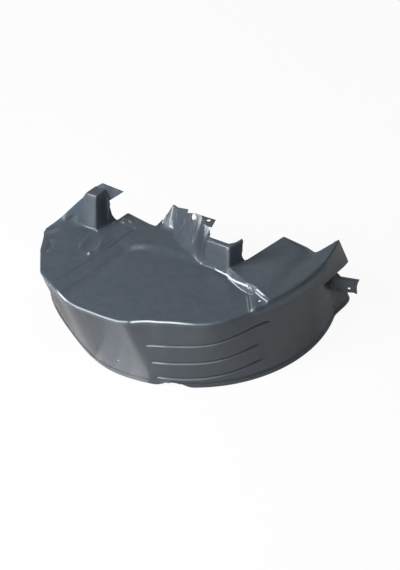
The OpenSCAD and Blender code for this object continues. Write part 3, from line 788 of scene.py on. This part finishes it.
def sheet_finish():
    """Satin dark grey plastic as a node material: cloudy colour on the object's coordinates,
    darkened by the stored painted shade and whitened by the stored painted highlights, with a gloss
    that falls in the dull zones and two bumps, one of slow waves and one of fine grain."""
    mat = bpy.data.materials.new("satin_liner_plastic")
    mat.use_nodes = True
    nodes, links = mat.node_tree.nodes, mat.node_tree.links
    shader = nodes["Principled BSDF"]

    def add(kind, **sockets):
        """A node with some of its sockets set."""
        node = nodes.new("ShaderNode" + kind)
        for socket, value in sockets.items():
            node.inputs[socket.replace("_", " ")].default_value = value
        return node

    def stored(name):
        """What the mesh keeps under a name."""
        node = add("Attribute")
        node.attribute_name = name
        return node.outputs["Fac"]

    def combine(operation, first, second):
        """Two numbers combined by a math node."""
        node = add("Math")
        node.operation = operation
        links.new(first, node.inputs[0])
        links.new(second, node.inputs[1])
        return node.outputs[0]

    def thin_line(k):
        """A smooth step down of the stored distance from line k, times its level."""
        away = add("Math")
        away.operation = "ABSOLUTE"
        bell = add("MapRange", From_Min=1.0, From_Max=0.2)
        bell.interpolation_type = "SMOOTHSTEP"
        links.new(stored(f"edge_{k}"), away.inputs[0])
        links.new(away.outputs[0], bell.inputs["Value"])
        return combine("MULTIPLY", bell.outputs["Result"], stored(f"edge_level_{k}"))

    def tinted(base, colour, share):
        """A colour mixed toward another one by a share."""
        node = add("Mix")
        node.data_type = "RGBA"
        node.inputs[7].default_value = colour
        links.new(base, node.inputs[6])
        links.new(share, node.inputs["Factor"])
        return node.outputs[2]

    place = add("TexCoord")
    clouds = add("TexNoise", Scale=40.0, Detail=9.0, Roughness=0.75)
    waves = add("TexNoise", Scale=9.0)
    grain = add("TexNoise", Scale=420.0)
    for texture in (clouds, waves, grain):
        links.new(place.outputs["Object"], texture.inputs["Vector"])

    tone = add("ValToRGB")
    for stop, position, colour in zip(tone.color_ramp.elements, (0.3, 0.7),
                                      ((0.056, 0.073, 0.092, 1.0), (0.078, 0.094, 0.112, 1.0))):
        stop.position, stop.color = position, colour
    links.new(clouds.outputs["Fac"], tone.inputs["Fac"])
    # Painted shade: the fold's dark line and the stored painted shade darken the colour.
    painted_shade_share = combine("MAXIMUM", thin_line(3), stored("painted_shade"))
    # Painted highlights: the shoulder's line, the thin lines and the soft marks whiten the colour.
    painted_highlight = stored("painted_highlight")
    for k in range(3):
        painted_highlight = combine("MAXIMUM", thin_line(k), painted_highlight)
    # The first colour is the painted shade, the second the pale colour of the painted highlights.
    shaded_colour = tinted(tone.outputs["Color"], (0.034, 0.037, 0.044, 1.0), painted_shade_share)
    highlighted_colour = tinted(shaded_colour, (0.68, 0.73, 0.78, 1.0), painted_highlight)
    links.new(highlighted_colour, shader.inputs["Base Color"])

    gloss = add("MapRange", To_Min=0.25, To_Max=0.3)
    shine = add("MapRange", To_Min=0.5, To_Max=0.06)
    dull = stored("dull")
    links.new(dull, gloss.inputs["Value"])
    links.new(dull, shine.inputs["Value"])
    links.new(gloss.outputs["Result"], shader.inputs["Roughness"])
    links.new(shine.outputs["Result"], shader.inputs["Specular IOR Level"])

    soft = add("Bump", Strength=0.25, Distance=0.004)
    fine = add("Bump", Strength=0.12, Distance=0.0006)
    links.new(waves.outputs["Fac"], soft.inputs["Height"])
    links.new(grain.outputs["Fac"], fine.inputs["Height"])
    links.new(soft.outputs["Normal"], fine.inputs["Normal"])
    links.new(fine.outputs["Normal"], shader.inputs["Normal"])
    return mat


liner.data.materials.clear()
liner.data.materials.append(sheet_finish())
liner.data.shade_smooth()
liner.data.set_sharp_from_angle(angle=np.radians(50.0))
dull_and_painted_shade(liner)
painted_highlights_and_shade(liner)
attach(liner, "root")
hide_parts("liner")


# Studio: a sheet of white paper that the camera sees as white, with the liner's shadow left in.
# Four softboxes and a strip lamp stand round it, the strongest at the left, and a weak white
# world fills the shade.
def paper_white():
    """White paper: a dull white surface for every ray, mixed with a plain white glow by a fixed
    share for the camera's own rays."""
    mat = bpy.data.materials.new("studio_paper")
    mat.use_nodes = True
    nodes, links = mat.node_tree.nodes, mat.node_tree.links
    shader = nodes["Principled BSDF"]
    shader.inputs["Base Color"].default_value = (0.8, 0.8, 0.8, 1.0)
    shader.inputs["Roughness"].default_value = 0.9
    glow = nodes.new("ShaderNodeEmission")
    path = nodes.new("ShaderNodeLightPath")
    seen = nodes.new("ShaderNodeMath")
    seen.operation = "MULTIPLY"
    seen.inputs[1].default_value = 0.93
    mix = nodes.new("ShaderNodeMixShader")
    links.new(path.outputs["Is Camera Ray"], seen.inputs[0])
    links.new(seen.outputs[0], mix.inputs[0])
    links.new(shader.outputs[0], mix.inputs[1])
    links.new(glow.outputs[0], mix.inputs[2])
    links.new(mix.outputs[0], nodes["Material Output"].inputs["Surface"])
    return mat


paper_half = 12.0
floor_mesh = bpy.data.meshes.new("studio_floor")
floor_mesh.from_pydata([(-paper_half, -paper_half, 0), (paper_half, -paper_half, 0),
                        (paper_half, paper_half, 0), (-paper_half, paper_half, 0)],
                       [], [(0, 1, 2, 3)])
studio_floor = bpy.data.objects.new("studio_floor", floor_mesh)
bpy.context.collection.objects.link(studio_floor)
floor_mesh.materials.append(paper_white())

world = bpy.data.worlds.new("studio_world")
bpy.context.scene.world = world
world.use_nodes = True
background = world.node_tree.nodes["Background"]
background.inputs["Color"].default_value = (1.0, 1.0, 1.0, 1.0)
background.inputs["Strength"].default_value = 0.07

# The point of the liner that the camera and the lamps face.
aim = Vector((*(wheel_centre[:2] + (14.4, 13.1)), 15.6)) * MM


def softbox(name, place, width, height, power, along=None):
    """A rectangular lamp at a place that faces the liner, with its width level or along a line."""
    lamp = bpy.data.lights.new(name, "AREA")
    lamp.shape = "RECTANGLE"
    lamp.size, lamp.size_y, lamp.energy = width, height, power
    holder = bpy.data.objects.new(name, lamp)
    bpy.context.collection.objects.link(holder)
    holder.location = aim + Vector(place)
    back = Vector(place).normalized()
    side = Vector(along or (-place[1], place[0] + 1e-6, 0.0))
    side = (side - back * side.dot(back)).normalized()
    holder.rotation_euler = Matrix((side, back.cross(side), back)).transposed().to_euler()
    return holder


softbox("softbox_left", (-2.26, -1.05, 1.4), 0.9, 0.9, 62.0)
softbox("softbox_low", (-1.35, -2.55, 0.62), 0.8, 0.6, 18.0)
softbox("strip_left", (-1.49, -1.64, 2.3), 3.4, 0.25, 50.0, (0.791, -0.465, 0.178))
softbox("softbox_top", (0.5, 0.1, 2.9), 1.6, 1.2, 15.0)
softbox("softbox_back", (-0.2, 4.2, 3.5), 7.0, 4.0, 18.0)


# Paper glow: the paper before the left part of the band is lit brightly and throws that light
# up onto the band. Three lamps lie on the paper there and face up, each wider than the one
# below it, and their shared right edge is where the liner's own shade begins.
glow_corner, glow_turn, glow_length = np.array([-95.0, -310.0]), 237.6, 0.45
watts_a_metre = 1.0
for glow_width, level in ((0.05, 1.0), (0.10, 1.4), (0.16, 1.8)):
    glow_lamp = softbox("paper_glow", (0.0, 0.0, -1.0), glow_width, glow_length,
                        watts_a_metre * glow_width)
    half_sides = glow_length * polar(0.5, glow_turn) + glow_width * polar(0.5, glow_turn - 90.0)
    middle = glow_corner + half_sides / MM
    glow_lamp.location = Vector((*(middle + wheel_centre[:2]), level)) * MM
    glow_lamp.rotation_euler = (np.pi, 0.0, np.radians(glow_turn - 90.0))


# Camera: a long lens from twenty metres away, forty degrees above the paper, so that a length
# looks the same all over the picture. Each of the picture's 570 rows takes 2.4 mm.
elevation = np.radians(40.0)
distance = 20.0
picture_height = 570 * 2.4 * MM
camera_data = bpy.data.cameras.new("camera")
camera_data.sensor_width = 36.0
camera_data.lens = camera_data.sensor_width * distance / picture_height
camera = bpy.data.objects.new("camera", camera_data)
bpy.context.collection.objects.link(camera)
camera.location = aim + Vector((0.0, -np.cos(elevation), np.sin(elevation))) * distance
camera.rotation_euler = (np.pi / 2 - elevation, 0.0, 0.0)
bpy.context.scene.camera = camera
bpy.context.scene.view_settings.view_transform = "Standard"
